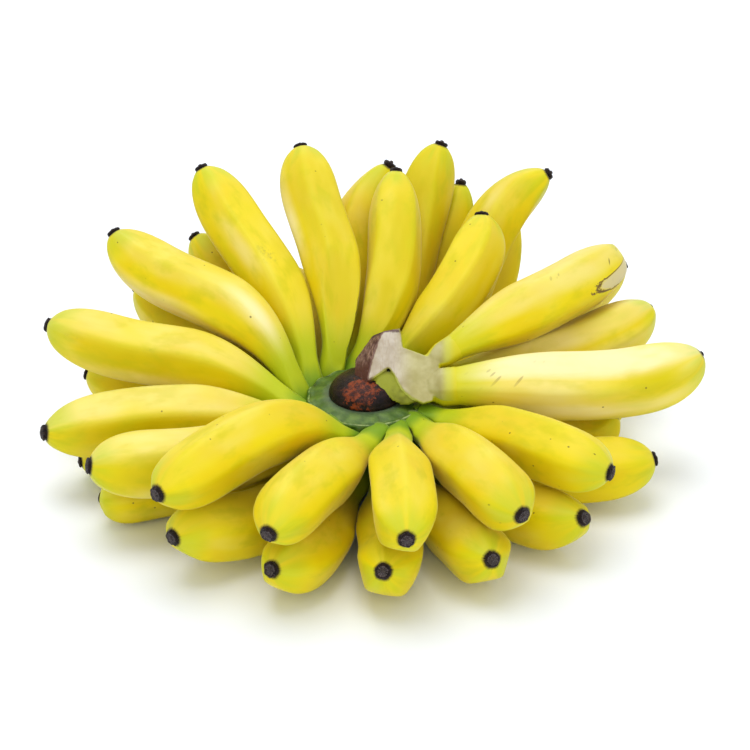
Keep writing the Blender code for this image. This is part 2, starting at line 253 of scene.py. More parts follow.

# Marks on the peel: finger, kind, share of the length, turn from the finger's top towards its
# left as seen from the stalk in degrees, length and width in mm, and strength. Smudges, scars and
# scratches are marks of the peel; the lighter patches are painted highlights and painted
# reflections of the bright floor on the rims, the darker gold ones painted shade on facets
# turned from the light
MARK_KINDS = ("smudge", "scar", "scratch", "painted_highlight_patch", "painted_shade")
MARKS = (
    ("top_03", "smudge", 0.47, 8, 30, 12, 1.0),
    ("top_01", "smudge", 0.86, 55, 14, 6, 0.9),
    ("top_01", "smudge", 0.55, 48, 12, 6, 0.5),
    ("top_08", "smudge", 0.62, 40, 24, 8, 0.5),
    ("crown_top", "scar", 0.89, -80, 66, 8.5, 1.0),
    ("crown_top", "scratch", 0.70, -50, 80, 30, 1.0),
    ("crown_near", "scratch", 0.25, -40, 50, 20, 0.5),
    ("crown_near", "painted_highlight_patch", 0.55, -118, 115, 16, 0.9),
    ("crown_near", "painted_highlight_patch", 0.93, -60, 30, 16, 0.5),
    ("crown_near", "painted_highlight_patch", 0.36, -76, 100, 30, 0.6),
    ("crown_near", "painted_shade", 0.78, -66, 50, 16, 0.7),
    ("crown_far", "painted_highlight_patch", 0.70, -80, 60, 12, 0.5),
    ("top_04", "painted_highlight_patch", 0.62, 78, 80, 12, 0.9),
    ("top_02", "painted_highlight_patch", 0.66, 102, 90, 12, 0.9),
    ("top_02", "painted_highlight_patch", 0.24, 15, 60, 20, 1.0),
    ("top_03", "painted_highlight_patch", 0.58, 50, 60, 14, 0.5),
    ("top_08", "painted_highlight_patch", 0.55, 114, 80, 12, 0.8),
    ("top_07", "painted_highlight_patch", 0.60, 112, 80, 12, 0.6),
    ("top_01", "painted_highlight_patch", 0.55, 114, 90, 12, 0.8),
    ("middle_07", "painted_highlight_patch", 0.80, 0, 40, 14, 0.5),
    ("middle_06", "painted_shade", 0.75, -10, 110, 50, 1.0),
    ("middle_07", "painted_shade", 0.60, -30, 90, 30, 0.7),
    ("top_04", "painted_shade", 0.58, -5, 110, 44, 0.9),
    ("top_01", "painted_shade", 0.52, 82, 100, 26, 1.0),
    ("top_03", "painted_shade", 0.45, -35, 60, 16, 0.6),
    ("top_05", "painted_shade", 0.60, -5, 100, 44, 0.9),
    ("top_07", "painted_shade", 0.60, 84, 100, 26, 1.0),
    ("top_08", "painted_shade", 0.58, 84, 100, 26, 1.0),
    ("middle_03", "painted_shade", 0.70, 60, 60, 20, 0.8),
    ("middle_02", "painted_shade", 0.70, 40, 60, 20, 0.7),
)

# The cut crown piece: convex blocks in the plane of its cut face. A point is (across, up the
# face, behind the face), in mm
CROWN_CORNER = (0.0, -0.0059, 0.0456)
CROWN_UP = (0.0, 0.75, 0.6614)
CROWN_BEHIND = (0.0, 0.6614, -0.75)
CROWN_BLOCKS = {
    "left_leg": (
        (1.4, 0.4, 0), (3.1, 8.4, 0), (5.5, 16.3, 0), (5.5, 3.0, 0), (8.6, 5.1, 0), (9.5, 16.0, 0),
        (0.4, -1.5, 1.5), (-5.1, 2.9, 5.0), (-4.7, 10.5, 7.0), (1.5, 18.0, 8.5), (8.0, 16.0, 8.5),
        (7.0, 2.0, 5.0),
    ),
    "head": (
        (5.5, 16.3, 0), (7.1, 20.4, 0), (13.7, 21.7, 0), (14.5, 15.1, 0), (8.6, 5.1, 0),
        (3.1, 8.4, 0), (14.5, 10.0, 0), (-4.7, 10.5, 7.0), (2.5, 21.8, 9.0), (13.2, 21.0, 9.0),
        (15.0, 13.0, 9.0), (13.0, 6.0, 8.0), (4.0, 6.0, 7.0),
    ),
    "arm": (
        (14.5, 13.6, 0), (18.4, 11.8, 0), (24.3, 9.7, 0), (29.0, 7.2, 0), (27.5, 0.6, 0),
        (11.4, 1.8, 0), (8.6, 5.1, 0), (14.0, 13.0, 8.5), (19.0, 11.0, 8.5), (24.5, 11.0, 8.5),
        (29.7, 11.0, 9.5), (29.7, 0.0, 11.0), (14.0, 1.0, 7.0),
    ),
    "prong": (
        (27.5, 0.6, 0), (26.7, -4.4, 0), (26.3, -8.9, 0), (22.4, -10.0, 0), (17.8, -7.4, 0),
        (14.1, -3.6, 0), (11.4, 1.8, 0), (28.0, 0.0, 7.0), (27.0, -4.0, 6.0), (26.5, -8.0, 4.0),
        (22.0, -9.6, 3.0), (17.0, -7.0, 3.0), (13.5, -3.0, 4.0), (12.0, 1.0, 6.0),
    ),
    "web": (
        (20.0, -9.0, 1.0), (17.6, -9.8, 2.4), (14.1, -10.2, 2.4), (9.8, -8.2, 1.8),
        (5.9, -4.8, 1.7), (2.7, -2.1, 1.2), (6.0, 3.0, 4.5), (13.0, 2.0, 5.0), (20.0, 0.0, 5.0),
        (6.0, 2.5, 1.5), (18.0, -1.0, 1.0), (8.0, 4.3, 1.5),
    ),
}
CROWN_VOXEL = 0.00045
CROWN_RELAXED = 8
# Where its three necks run into it: distance along the finger and share of its radius
NECK_BLOCKS = ((-0.0055, 0.70), (-0.0005, 1.03), (0.0045, 1.03), (0.0105, 0.88))
NECK_BLOCK_SIDES = 40
BORDER_WIDTH = 0.0017
# Where the crown's looks change, in mm across, up or behind its face: none at the first value
# and full at the second
FACE_BEHIND = (1.05, 0.35)
THIN_ACROSS = (10.0, 20.0)
FOOT_UP = (11.0, 5.0)
FOOT_ACROSS = (5.0, 1.0)
TOP_UP = (18.2, 21.0)
OLIVE_UP = (8.0, 2.0)
OLIVE_ACROSS = (1.5, 4.0)
ARM_ACROSS = (10.0, 16.0)
# Where it turns into fresh peel, along +X
FRESH_SKIN = (0.0170, 0.0280)
FRESH_FACE = (0.0270, 0.0380)

# Floor, world and lights: name, place, size and power
FLOOR_HALF = 3.0
FLOOR_DROP = 0.0002
WORLD_COLOUR = (0.95, 0.97, 1.0)
WORLD_STRENGTH = 0.70
LIGHT_TARGET = (0.0, 0.0, 0.03)
LIGHTS = (
    ("key", (-0.12, -0.02, 1.45), 1.0, 7.3),
    ("fill", (0.3, -1.4, 0.5), 1.2, 3.0),
    ("back", (0.0, 1.7, 1.3), 1.6, 6.0),
)


def smooth(x):
    """Rises from 0 to 1 as x does, level at both ends."""
    x = np.clip(x, 0.0, 1.0)
    return x * x * (3.0 - 2.0 * x)


def fade(x, none, full):
    """Goes from 0 where x is none to 1 where it is full."""
    return smooth((x - none) / (full - none))


def radius_share(t, neck=NECK_SHARE, stub=STUB_SHARE):
    """A finger's radius at share t of its length, as a share of its body radius."""
    t = np.asarray(t, float)
    along_neck = np.clip((t - NECK_END) / (BODY_START - NECK_END), 0.0, 1.0)
    swell = neck + (1.0 - neck) * np.sin(along_neck * math.pi / 2.0) ** SWELL_POWER
    u = np.clip((t - TAPER_START) / (STUB_START - TAPER_START), 0.0, 1.0)
    taper = np.sqrt(1.0 - u**TAPER_POWER * (1.0 - stub**2))
    along_stub = (t - STUB_START) / (1.0 - STUB_START)
    end = stub + (STUB_END_SHARE - STUB_SHARE) * along_stub
    return np.where(t > STUB_START, end, swell * taper)


def neck_of(finger):
    return NECK_SHARES.get(finger[0], NECK_SHARE)


def on_whorl(finger):
    return finger[0] not in CROWN_NECKS


def radius_of(finger):
    return finger[5] / 2.0 * MM


def ridge_share(t):
    """How far the ridges stand out: less at the neck, most along the body, little at the tip."""
    rise = RIDGE_NECK + (1.0 - RIDGE_NECK) * smooth((t - NECK_END) / RIDGE_RISE)
    return RIDGE * rise * (1.0 - RIDGE_FALL * fade(t, *RIDGE_FADE))


def crest(angle):
    """The ridges round a section: 1 on a ridge, -1 in the middle of a facet."""
    facet = math.tau / RIDGES
    off = np.mod(angle, facet) - facet / 2.0
    low = math.cos(facet / 2.0)
    flat = (low / np.cos(off) - (1.0 + low) / 2.0) / ((1.0 - low) / 2.0)
    return RIDGE_EDGE * flat + (1.0 - RIDGE_EDGE) * np.cos(RIDGES * angle)


def on_ring(turn, reach, height):
    angle = math.radians(turn)
    return np.array([reach * math.cos(angle), reach * math.sin(angle), height])


def root_of(finger):
    """Where a finger leaves the stalk, or where it leaves the cut crown."""
    name, turn = finger[:2]
    if name in CROWN_NECKS:
        return np.array(CROWN_NECKS[name])
    return on_ring(turn, NECK_START, ROW_HEIGHT[name.split("_")[0]])


def centre_line(finger, t):
    """Points along a finger before it is crowded: a chord with a sag, a sway and a hooked tip."""
    name, _, tip_turn, reach, height, _, sag, sway, _ = finger
    root = root_of(finger)
    chord = on_ring(tip_turn, reach * MM, height * MM) - root
    ahead = chord / np.linalg.norm(chord)
    side = np.cross(ahead, (0.0, 0.0, 1.0))
    side /= np.linalg.norm(side)
    up = np.cross(side, ahead)
    bow = (4.0 * t * (1.0 - t))[:, None] * (side * sway - up * sag)
    hook_up, hook_side = HOOKS.get(name, HOOK)
    hooked = np.clip((t - HOOK_START) / (1.0 - HOOK_START), 0.0, 1.0) ** 2
    hook = hooked[:, None] * (up * hook_up + side * hook_side)
    return root + t[:, None] * chord + (bow + hook) * MM


def crowd(lines, radii, ease):
    """Moves the lines until the fingers round them clear each other and the surface below."""
    count, samples, _ = lines.shape
    t = np.linspace(0.0, 1.0, samples)
    basis = np.stack([t, t**2, t**3], axis=1)
    fit = basis @ np.linalg.pinv(basis)
    owner = np.repeat(np.arange(count), samples)
    flat_radii = radii.reshape(-1)
    giving = np.repeat(ease, samples)
    for _ in range(ROUNDS):
        points = lines.reshape(-1, 3)
        apart = points[:, None, :] - points[None, :, :]
        distance = np.sqrt((apart**2).sum(axis=2)) + 1e-9
        overlap = flat_radii[:, None] + flat_radii[None, :] + PRESS_GAP - distance
        overlap[owner[:, None] == owner[None, :]] = 0.0
        overlap = np.maximum(overlap, 0.0)
        share = giving[:, None] / (giving[:, None] + giving[None, :])
        push = (apart / distance[:, :, None] * (overlap * share)[:, :, None]).sum(axis=1)
        touching = np.maximum((overlap > 0.0).sum(axis=1), 1)
        push = push / touching[:, None] * 2.0
        push[:, 2] += np.maximum(flat_radii - points[:, 2], 0.0)
        wish = push.reshape(count, samples, 3) * PUSH
        lines = lines + np.einsum("ab,nbc->nac", fit, wish)
    return lines


def frames(points):
    """Unit tangent, side and up vectors along a line."""
    ahead = np.gradient(points, axis=0)
    ahead /= np.linalg.norm(ahead, axis=1)[:, None]
    side = np.cross(ahead, (0.0, 0.0, 1.0))
    side /= np.linalg.norm(side, axis=1)[:, None]
    return ahead, side, np.cross(side, ahead)


def fitted_line(line, t):
    """Points at shares t of a sampled line, on a smooth curve that follows it."""
    known = np.linspace(0.0, 1.0, len(line))
    powers = np.vander(known, CURVE_POWERS, increasing=True)
    weights = np.linalg.lstsq(powers, line, rcond=None)[0]
    return np.vander(np.asarray(t, float), CURVE_POWERS, increasing=True) @ weights


def length_of(line):
    return np.linalg.norm(np.diff(line, axis=0), axis=1).sum()


def pressed_share(out, centre, radius, others, other_radii):
    """How much of its reach each direction of a ring keeps where neighbours press on it."""
    to = others - centre
    distance = np.linalg.norm(to, axis=1)
    near = distance < (radius + other_radii) * PRESS_REACH + PRESS_GAP
    share = np.ones(len(out))
    for way, far, other in zip(to[near], distance[near], other_radii[near]):
        wall = (far**2 + radius**2 - other**2) / (2.0 * far) - LOOK_GAP / 2.0
        reach = out @ (way / far)
        over = reach > wall
        share[over] = np.minimum(share[over], np.maximum(wall, 0.0) / reach[over])
    return share


def soften(grid, passes):
    """Rounds the edges of the pressed places of a (rings, sides) grid, without filling them."""
    rounded = grid
    for _ in range(passes):
        padded = np.pad(rounded, ((1, 1), (0, 0)), mode="edge")
        along = (padded[:-2] + 2.0 * padded[1:-1] + padded[2:]) / 4.0
        round_it = (np.roll(along, 1, axis=1) + 2.0 * along + np.roll(along, -1, axis=1)) / 4.0
        rounded = np.minimum(round_it, grid)
    return rounded


def wobble(rng, t, angle, terms=7):
    """A gentle unevenness over a grid of shares along and angles round, about -1 to 1."""
    total = np.zeros((len(t), len(angle)))
    for _ in range(terms):
        waves_round = rng.integers(0, 4)
        waves_along = rng.uniform(0.5, 4.0)
        phase = rng.uniform(0.0, math.tau)
        amount = rng.uniform(0.3, 1.0) / terms
        wave = waves_round * angle[None, :] + math.tau * waves_along * t[:, None] + phase
        total += amount * np.sin(wave)
    return total


def placed(name, data):
    obj = bpy.data.objects.new(name, data)
    bpy.context.scene.collection.objects.link(obj)
    return obj


def mesh_of(name, points, faces, material):
    data = bpy.data.meshes.new(name)
    data.from_pydata(points.tolist(), [], faces)
    data.validate()
    data.materials.append(material)
    data.shade_smooth()
    return placed(name, data)


def ring_faces(rings, sides):
    """Quads between rings of a loft, and one face over each end."""
    faces = []
    for k in range(rings - 1):
        low, high = k * sides, (k + 1) * sides
        for j in range(sides):
            after = (j + 1) % sides
            faces.append((low + j, low + after, high + after, high + j))
    faces.append(tuple(reversed(range(sides))))
    faces.append(tuple(range((rings - 1) * sides, rings * sides)))
    return faces


def give(obj, name, values, kind="FLOAT"):
    """Stores one value a vertex under a name that the materials read."""
    attribute = obj.data.attributes.new(name, kind, "POINT")
    key = "vector" if kind == "FLOAT_VECTOR" else "value"
    attribute.data.foreach_set(key, np.asarray(values, np.float32).reshape(-1))


def dress(obj, node):
    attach(obj, "root")
    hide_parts(node)


def finger_profile(finger):
    """Shares of the length and of the body radius for the rings of the peel and of the dry tip."""
    size = 1.0 if on_whorl(finger) else SMALL_CAP
    body = np.linspace(0.0, SHOULDER_START, BODY_RINGS)
    turn = np.linspace(0.0, math.pi / 2.0, SHOULDER_RINGS + 1)[1:]
    shoulder = SHOULDER_START + (STUB_START - SHOULDER_START) * np.sin(turn)
    peel = np.concatenate([body, shoulder])
    cap = np.array(CAP_RINGS)
    cap_t = STUB_START + (cap[:, 0] - STUB_START) * size
    shares = radius_share(peel, neck_of(finger), TIP_SHARE * size)
    return np.concatenate([peel, cap_t]), np.concatenate([shares, cap[:, 1] * size])


def mark_values(finger, kind, t, angle, length, radius):
    """How strong the marks of one kind are over a grid of shares along and angles round."""
    total = np.zeros((len(t), len(angle)))
    for name, mark, where, turn, reach, width, strength in MARKS:
        if name != finger[0] or mark != kind:
            continue
        along = np.abs(t - where) * length / (reach * MM / 2.0)
        off = np.mod(angle - math.pi / 2.0 - math.radians(turn) + math.pi, math.tau) - math.pi
        round_it = np.abs(off) * radius / (width * MM / 2.0)
        total += strength * np.outer(1.0 - smooth(along), 1.0 - smooth(round_it))
    return np.minimum(total, 1.0)


def turned_ridges(index, angle):
    """The angles round a finger from its first ridge on, which lies a little unevenly."""
    rng = np.random.default_rng(SEED + index)
    roll = math.radians(ROLL.get(FINGERS[index][0], rng.uniform(*ROLL_RANGE)))
    turned = angle - math.pi / 2.0 - roll
    return turned + RIDGE_WANDER * np.sin(turned + rng.uniform(0.0, math.tau))


def finger_rings(finger, line):
    """Shares along a finger, centres, side and up ways, and shares of its radius, for its rings."""
    t_all, shares = finger_profile(finger)
    centres = fitted_line(line, t_all)
    ahead, side, up = frames(fitted_line(line, np.linspace(0.0, 1.0, FRAME_POINTS)))
    at = np.clip(np.round(t_all * (FRAME_POINTS - 1)).astype(int), 0, FRAME_POINTS - 1)
    side, up, ahead = side[at], up[at], ahead[at]
    if on_whorl(finger):
        inward = np.array(INWARD_STEPS)
        count = len(inward)
        centres = np.concatenate([centres[0] - inward[:, None] * ahead[0], centres])
        side = np.concatenate([np.repeat(side[:1], count, 0), side])
        up = np.concatenate([np.repeat(up[:1], count, 0), up])
        shares = np.concatenate([np.full(count, shares[0]), shares])
        t_all = np.concatenate([-inward / length_of(line), t_all])
    return t_all, centres, side, up, shares


def finger_section(rng, t_all, angle, turned):
    """How far the points of the rings stand out: ridges, unevenness and the ragged dry tip."""
    ridge = np.array([ridge_share(max(t, 0.0)) for t in t_all])
    uneven = wobble(rng, t_all, angle)
    section = 1.0 + ridge[:, None] * crest(turned)[None, :] * rng.uniform(*RIDGE_RANGE)
    section += UNEVEN * uneven * fade(t_all, *UNEVEN_FADE)[:, None]
    on_cap = smooth((t_all - STUB_START) / RAGGED_REACH)
    waves_along, waves_round = RAGGED_WAVES
    ragged = wobble(rng, t_all * waves_along, angle * waves_round, 9)
    return section + RAGGED * ragged * on_cap[:, None]


def finger_points(index, lines, radii, rings, section, angle):
    """The points of a finger's rings, and how much of its reach each keeps."""
    t_all, centres, side, up, shares = rings
    finger = FINGERS[index]
    wide = np.ones(len(t_all))
    if on_whorl(finger):
        along = t_all * length_of(lines[index])
        wide += NECK_WIDENING * (1.0 - smooth(along / NECK_WIDE_REACH))
    others = np.delete(lines, index, axis=0).reshape(-1, 3)
    other_radii = np.delete(radii, index, axis=0).reshape(-1)
    keep = np.ones((len(t_all), SIDES))
    outs = np.empty((len(t_all), SIDES, 3))
    for k in range(len(t_all)):
        radius = radius_of(finger) * shares[k]
        way = np.outer(np.cos(angle) * wide[k], side[k]) + np.outer(np.sin(angle), up[k])
        outs[k] = way * (radius * section[k])[:, None]
        keep[k] = pressed_share(outs[k], centres[k], radius, others, other_radii)
    keep = soften(keep, PRESS_SOFTENED)
    points = centres[:, None, :] + outs * keep[:, :, None]
    if on_whorl(finger):
        reach = np.linalg.norm(points[:, :, :2], axis=2)
        roof = COLLAR_TOP + COLLAR_SLOPE * np.maximum(reach - COLLAR_EDGE, 0.0)
        points[:, :, 2] = np.minimum(points[:, :, 2], roof)
    points[:, :, 2] = np.maximum(points[:, :, 2], 0.0)
    return points, keep


def give_peel_values(obj, index, t_all, angle, turned, length, ripe):
    """Stores what the peel's material reads."""
    finger = FINGERS[index]
    radius = radius_of(finger)
    give(obj, "along", np.repeat(t_all, SIDES))
    give(obj, "crest", np.tile(crest(turned), len(t_all)))
    end_face = np.zeros(len(t_all))
    end_face[-(len(CAP_RINGS) - CAP_FACE_FROM) :] = 1.0
    give(obj, "end_face", np.repeat(end_face, SIDES))
    lay = np.empty((len(t_all), SIDES, 3))
    lay[:, :, 0] = radius * np.cos(angle)[None, :]
    lay[:, :, 1] = radius * np.sin(angle)[None, :]
    lay[:, :, 2] = (t_all * length)[:, None]
    lay += np.array(LAY_STEP) * (index + 1)
    give(obj, "lay", lay, "FLOAT_VECTOR")
    cells = len(t_all) * SIDES
    give(obj, "ripe", np.full(cells, ripe))
    give(obj, "green_neck", np.full(cells, 1.0 if on_whorl(finger) else 0.0))
    # Painted highlight: the upper side is painted lighter where the light from above falls
    painted_highlight_patch = HIGHLIGHT_TOPS.get(finger[0], HIGHLIGHT_TOP) * fade(np.sin(angle), HIGHLIGHT_FROM, 2.0 * HIGHLIGHT_FROM)
    from_root = np.ones(len(t_all)) if on_whorl(finger) else smooth(t_all / HIGHLIGHT_ROOT)
    give(obj, "painted_highlight", np.outer(from_root, painted_highlight_patch))
    for kind in MARK_KINDS:
        give(obj, kind, mark_values(finger, kind, t_all, angle, length, radius))


def make_finger(index, lines, radii, material):
    rng = np.random.default_rng(SEED + index)
    name = FINGERS[index][0]
    angle = np.arange(SIDES) * math.tau / SIDES + math.pi / 2.0
    turned = turned_ridges(index, angle)
    rings = finger_rings(FINGERS[index], lines[index])
    t_all = rings[0]
    section = finger_section(rng, t_all, angle, turned)
    points, keep = finger_points(index, lines, radii, rings, section, angle)
    faces = ring_faces(len(t_all), SIDES)
    obj = mesh_of("banana_" + name, points.reshape(-1, 3), faces, material)
    ripe = rng.uniform(0.0, 1.0)
    give_peel_values(obj, index, t_all, angle, turned, length_of(lines[index]), ripe)
    give(obj, "pressed", 1.0 - keep)
    dress(obj, "finger_" + name)


def crowded_fingers():
    """The fingers' centre lines after crowding, and their radii along them."""
    t = np.linspace(0.0, 1.0, SAMPLES)
    lines = np.stack([centre_line(finger, t) for finger in FINGERS])
    radii = np.stack([radius_of(f) * radius_share(t, neck_of(f)) for f in FINGERS])
    return crowd(lines, radii, np.array([finger[-1] for finger in FINGERS])), radii


# Materials

# Turns about the axes, in radians, of the space in which slanted strokes lie
SLANT = (0.9, 0.5, 0.3)


class Nodes:
    """Short calls to build a node material."""

    def __init__(self, name):
        self.material = bpy.data.materials.new(name)
        self.material.use_nodes = True
        self.tree = self.material.node_tree
        self.shader = self.tree.nodes["Principled BSDF"]

    def add(self, kind, **settings):
        node = self.tree.nodes.new(kind)
        for key, value in settings.items():
            setattr(node, key, value)
        return node

    def plug(self, value, socket):
        if isinstance(value, bpy.types.NodeSocket):
            self.tree.links.new(value, socket)
        elif isinstance(value, tuple) and len(value) == 3 and socket.type == "RGBA":
            socket.default_value = (*value, 1.0)
        else:
            socket.default_value = value

    def value(self, name):
        return self.add("ShaderNodeAttribute", attribute_name=name).outputs["Fac"]

    def place(self):
        return self.add("ShaderNodeTexCoord").outputs["Object"]

    def vector(self, name):
        return self.add("ShaderNodeAttribute", attribute_name=name).outputs["Vector"]

    def math(self, operation, a, b):
        node = self.add("ShaderNodeMath", operation=operation)
        for value, socket in zip((a, b), node.inputs):
            self.plug(value, socket)
        return node.outputs[0]

    def times(self, a, b):
        return self.math("MULTIPLY", a, b)

    def plus(self, a, b):
        return self.math("ADD", a, b)

    def stirred(self, value, noise, amount):
        """The value, moved up and down by a noise round a half."""
        return self.plus(value, self.times(self.plus(noise, -0.5), amount))

    def step(self, value, low, high, amount=1.0):
        """0 up to low, the amount from high on, smooth between. With high under low it falls."""
        node = self.add("ShaderNodeMapRange", interpolation_type="SMOOTHSTEP")
        self.plug(value, node.inputs["Value"])
        node.inputs["From Min"].default_value = low
        node.inputs["From Max"].default_value = high
        node.inputs["To Max"].default_value = amount
        return node.outputs["Result"]

    def scaled(self, vector, scale):
        node = self.add("ShaderNodeVectorMath", operation="MULTIPLY")
        self.plug(vector, node.inputs[0])
        node.inputs[1].default_value = scale
        return node.outputs[0]

    def slanted(self, vector, scale):
        """The vector turned askew and then scaled, for strokes that cross the length."""
        node = self.add("ShaderNodeVectorRotate", rotation_type="EULER_XYZ")
        self.plug(vector, node.inputs["Vector"])
        node.inputs["Rotation"].default_value = SLANT
        return self.scaled(node.outputs[0], scale)

    def noise(self, vector, scale, detail=3.0, roughness=0.55):
        node = self.add("ShaderNodeTexNoise")
        self.plug(vector, node.inputs["Vector"])
        node.inputs["Scale"].default_value = scale
        node.inputs["Detail"].default_value = detail
        node.inputs["Roughness"].default_value = roughness
        return node.outputs["Fac"]

    def cells(self, vector, scale):
        """Distance to the nearest cell centre, and a random value a cell."""
        node = self.add("ShaderNodeTexVoronoi")
        self.plug(vector, node.inputs["Vector"])
        node.inputs["Scale"].default_value = scale
        red = self.add("ShaderNodeSeparateColor")
        self.plug(node.outputs["Color"], red.inputs[0])
        return node.outputs["Distance"], red.outputs[0]

    def mix(self, share, a, b):
        node = self.add("ShaderNodeMix", data_type="RGBA")
        self.plug(share, node.inputs[0])
        self.plug(a, node.inputs[6])
        self.plug(b, node.inputs[7])
        return node.outputs[2]

    def coats(self, colour, *coats):
        """The colour under one coat after another, each a share and the colour it brings."""
        for share, tone in coats:
            colour = self.mix(share, colour, tone)
        return colour

    def bump(self, height, distance, strength, normal=None):
        node = self.add("ShaderNodeBump")
        self.plug(height, node.inputs["Height"])
        node.inputs["Distance"].default_value = distance
        node.inputs["Strength"].default_value = strength
        if normal is not None:
            self.plug(normal, node.inputs["Normal"])
        return node.outputs["Normal"]

    def finish(self, colour, roughness, normal=None, **fixed):
        self.plug(colour, self.shader.inputs["Base Color"])
        self.plug(roughness, self.shader.inputs["Roughness"])
        if normal is not None:
            self.plug(normal, self.shader.inputs["Normal"])
        for name, value in fixed.items():
            self.shader.inputs[name.replace("_", " ")].default_value = value
        return self.material


LEMON = (0.77, 0.625, 0.006)
PALE = (0.83, 0.75, 0.24)
HIGHLIGHT_CREAM = (0.90, 0.80, 0.42)
GOLDEN = (0.72, 0.50, 0.004)
PAINTED_SHADE_GOLD = (0.58, 0.475, 0.002)
OLIVE = (0.54, 0.51, 0.006)
LIME = (0.50, 0.58, 0.020)
FRESH_PEEL = (0.67, 0.60, 0.016)
NECK_GREEN = (0.17, 0.32, 0.020)
CREVICE_SHADE = (0.085, 0.060, 0.012)
TIP_GREEN = (0.46, 0.56, 0.020)
SPECK = (0.10, 0.06, 0.02)
SMUDGE = (0.30, 0.27, 0.08)
SCAR = (0.12, 0.06, 0.03)
DRY_RIM = (0.62, 0.54, 0.33)
CAP_DARK = (0.012, 0.008, 0.008)
CAP_BROWN = (0.070, 0.036, 0.028)
CAP_GREY_GLINT = (0.22, 0.18, 0.17)
COLLAR_DARK = (0.062, 0.125, 0.016)
COLLAR_GREEN = (0.135, 0.215, 0.036)
COLLAR_GROOVE_SHADE = (0.065, 0.105, 0.016)
COLLAR_WAX_SHEEN = (0.12, 0.15, 0.12)
COLLAR_RIM = (0.42, 0.48, 0.20)
END_BLACK = (0.008, 0.004, 0.007)
END_BROWN = (0.040, 0.018, 0.016)
END_DUST = (0.12, 0.07, 0.06)
FLESH_DARK = (0.050, 0.013, 0.009)
FLESH_RED = (0.25, 0.052, 0.014)
CUT_TAN = (0.44, 0.37, 0.28)
CUT_PALE = (0.60, 0.54, 0.46)
CUT_SPOT = (0.36, 0.30, 0.22)
CUT_STREAK = (0.40, 0.30, 0.21)
CUT_TOP = (0.095, 0.045, 0.050)
ARM_DEEP = (0.40, 0.36, 0.13)
ARM_PALE = (0.52, 0.48, 0.22)
BORDER_BROWN = (0.16, 0.075, 0.055)
BORDER_OLIVE = (0.50, 0.50, 0.12)
BARK_DARK = (0.085, 0.030, 0.020)
BARK_BROWN = (0.33, 0.20, 0.15)
BARK_FOOT = (0.095, 0.026, 0.012)
BARK_TOP = (0.075, 0.032, 0.034)
OLIVE_DEEP = (0.16, 0.165, 0.008)
OLIVE_SKIN = (0.30, 0.32, 0.022)
OLIVE_EDGE = (0.50, 0.56, 0.10)
FRESH_LIME = (0.58, 0.57, 0.10)
FLOOR_COOL = (0.89, 0.92, 0.98)
FLOOR_PALE = (0.91, 0.935, 0.985)


def peel_yellows(n, lay, patches, broad, fibre):
    """Golden clouds, painted highlights, painted shade on facets, dull patches and lime ridges."""
    golden = n.step(n.plus(patches, n.times(n.value("ripe"), 0.16)), 0.48, 0.82, 0.45)
    # painted highlight: the lit upper side together with the lighter patches on lit facets and rims
    painted_highlight = n.math("MAXIMUM", n.value("painted_highlight"), n.value("painted_highlight_patch"))
    # painted shade: darker gold on the facets turned away from the light
    painted_shade = n.times(n.value("painted_shade"), n.plus(0.60, n.step(broad, 0.60, 0.40, 0.40)))
    dull = n.step(n.noise(n.scaled(lay, (1.0, 1.0, 0.5)), 130.0, 3.0), 0.48, 0.72, 0.50)
    return n.coats(
        LEMON,
        (golden, GOLDEN),
        (n.step(broad, 0.50, 0.75, 0.22), PALE),
        # painted highlight: cream on the lit upper side, and painted reflection of the floor on the
        # rims
        (n.times(painted_highlight, n.plus(0.60, n.step(broad, 0.35, 0.60, 0.40))), HIGHLIGHT_CREAM),
        (n.times(painted_shade, 0.85), PAINTED_SHADE_GOLD),
        (n.step(broad, 0.42, 0.25, 0.22), LIME),
        (n.times(dull, n.plus(1.0, n.times(painted_highlight, -0.9))), OLIVE),
        (n.step(n.value("crest"), -0.2, 1.0, 0.10), LIME),
        (n.step(fibre, 0.52, 0.75, 0.06), GOLDEN),
    )


def peel_greens(n, colour, along, patches, broad):
    """Lime and green towards the neck, painted shade where necks press, green before the tip."""
    green_neck = n.value("green_neck")
    shifted = n.stirred(along, patches, 0.08)
    lime = n.times(n.step(shifted, 0.24, 0.07), n.plus(0.45, n.times(green_neck, 0.45)))
    root = n.times(n.step(shifted, 0.055, -0.015, 0.85), green_neck)
    # painted shade: darker in the crevices where the necks press together
    painted_crevice_shade = n.times(n.step(n.value("pressed"), 0.03, 0.16, 0.80), n.step(along, 0.36, 0.14))
    tip = n.times(n.step(shifted, 0.84, 0.96, 0.55), n.step(broad, 0.35, 0.60))
    return n.coats(colour, (lime, LIME), (root, NECK_GREEN), (painted_crevice_shade, CREVICE_SHADE), (tip, TIP_GREEN))


def peel_marks(n, colour, lay):
    """Small specks, rubbed smudges, short scratches and the scar with its cracked border."""
    distance, chosen = n.cells(lay, 380.0)
    speck = n.times(n.step(distance, 0.22, 0.10, 0.70), n.step(chosen, 0.972, 0.980))
    rubbed = n.step(n.noise(n.scaled(lay, (1.0, 1.0, 0.55)), 210.0, 6.0, 0.78), 0.50, 0.66)
    strokes, picked = n.cells(n.slanted(lay, (1.5, 1.5, 0.17)), 300.0)
    stroke = n.times(n.step(strokes, 0.30, 0.18, 0.90), n.step(picked, 0.66, 0.68))
    scar = n.value("scar")
    scar = n.stirred(scar, rubbed, n.step(scar, 0.0, 0.1, 0.12))
    crack = n.times(n.step(scar, 0.09, 0.15, 0.90), n.step(scar, 0.26, 0.19))
    return n.coats(
        colour,
        (speck, SPECK),
        (n.times(n.times(rubbed, n.value("smudge")), 0.62), SMUDGE),
        (n.times(stroke, n.value("scratch")), SCAR),
        (n.step(scar, 0.18, 0.32, 0.85), DRY_RIM),
        (crack, SCAR),
    )


